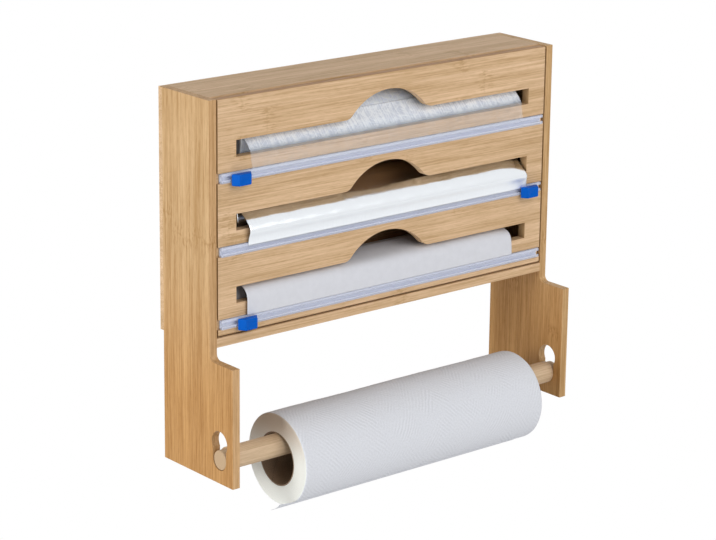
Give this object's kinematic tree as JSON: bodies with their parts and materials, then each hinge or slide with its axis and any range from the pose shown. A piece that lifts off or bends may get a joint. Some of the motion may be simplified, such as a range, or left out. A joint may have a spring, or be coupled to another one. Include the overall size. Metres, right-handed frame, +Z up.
{
  "type": "cling film and towel dispenser",
  "caption": "Wall-mounted bamboo dispenser: hinged slotted front with slide cutters for cling film, foil and baking paper, and a keyhole-seated rod below for a towel roll.",
  "frame": {"origin": "on the wall plane, midway between the two wall screw holes in the back panel", "axes": "+X to the right seen from the front, +Y into the wall, +Z up"},
  "size_m": [0.365, 0.118, 0.3408],
  "materials": {
    "bamboo": "laminated bamboo, clear matt lacquer",
    "bamboo_rod": "turned bamboo, sanded",
    "steel": "zinc plated",
    "blade_steel": "ground blade steel",
    "magnet": "nickel plated magnet",
    "tape": "double-sided tape",
    "clear_plastic": "clear extruded plastic",
    "blue_plastic": "moulded, satin",
    "cling_film": "clear stretch film",
    "foil": "bright rolled foil",
    "baking_paper": "matt coated paper",
    "towel_paper": "embossed tissue",
    "card": "raw grey-brown card"
  },
  "bodies": {
    "case": {"left_side_panel": "bamboo", "right_side_panel": "bamboo", "top_board": "bamboo", "bottom_board": "bamboo", "upper_shelf": "bamboo", "lower_shelf": "bamboo", "back_panel": "bamboo", "case_dowels": "bamboo_rod", "back_screws": "steel", "hinge_pins": "steel", "catch_magnets": "magnet"},
    "door": {"front_door": "bamboo", "catch_plates": "steel", "track_tape_1": "tape", "track_tape_2": "tape", "track_tape_3": "tape", "cutter_track_1": "clear_plastic", "cutter_track_2": "clear_plastic", "cutter_track_3": "clear_plastic", "film_sheet": "cling_film", "foil_sheet": "foil", "paper_sheet": "baking_paper"},
    "cutter_1": {"cutter_slider_1": "blue_plastic", "cutter_blade_1": "blade_steel"},
    "cutter_2": {"cutter_slider_2": "blue_plastic", "cutter_blade_2": "blade_steel"},
    "cutter_3": {"cutter_slider_3": "blue_plastic", "cutter_blade_3": "blade_steel"},
    "film_spool": {"film_roll": "cling_film", "film_core": "card"},
    "foil_spool": {"foil_roll": "foil", "foil_core": "card"},
    "paper_spool": {"paper_roll": "baking_paper", "paper_core": "card"},
    "rod": {"towel_rod": "bamboo_rod"},
    "towel": {"towel_roll": "towel_paper", "towel_core": "card", "towel_tail": "towel_paper"}
  },
  "joints": [
    {"name": "door_hinge", "type": "hinge", "parent": "case", "child": "door", "pos_m": [0, -0.063, 0.019], "axis": [-1, 0, 0], "range_deg": [0, 90]},
    {"name": "cutter_1_slide", "type": "slide", "parent": "door", "child": "cutter_1", "axis": [1, 0, 0], "range_m": [-0.0085, 0.3165]},
    {"name": "cutter_2_slide", "type": "slide", "parent": "door", "child": "cutter_2", "axis": [1, 0, 0], "range_m": [-0.3195, 0.0055]},
    {"name": "cutter_3_slide", "type": "slide", "parent": "door", "child": "cutter_3", "axis": [1, 0, 0], "range_m": [-0.0145, 0.3105]},
    {"name": "film_spin", "type": "hinge", "parent": "case", "child": "film_spool", "pos_m": [0.0025, -0.031, -0.0179], "axis": [1, 0, 0], "continuous": true},
    {"name": "foil_spin", "type": "hinge", "parent": "case", "child": "foil_spool", "pos_m": [0.004, -0.035, -0.0815], "axis": [1, 0, 0], "continuous": true},
    {"name": "paper_spin", "type": "hinge", "parent": "case", "child": "paper_spool", "pos_m": [-0.004, -0.0355, -0.1497], "axis": [1, 0, 0], "continuous": true},
    {"name": "rod_lift", "type": "slide", "parent": "case", "child": "rod", "axis": [0, 0, 1], "range_m": [0, 0.014]},
    {"name": "towel_spin", "type": "hinge", "parent": "rod", "child": "towel", "pos_m": [0.005, -0.0795, -0.2783], "axis": [1, 0, 0], "continuous": true}
  ]
}
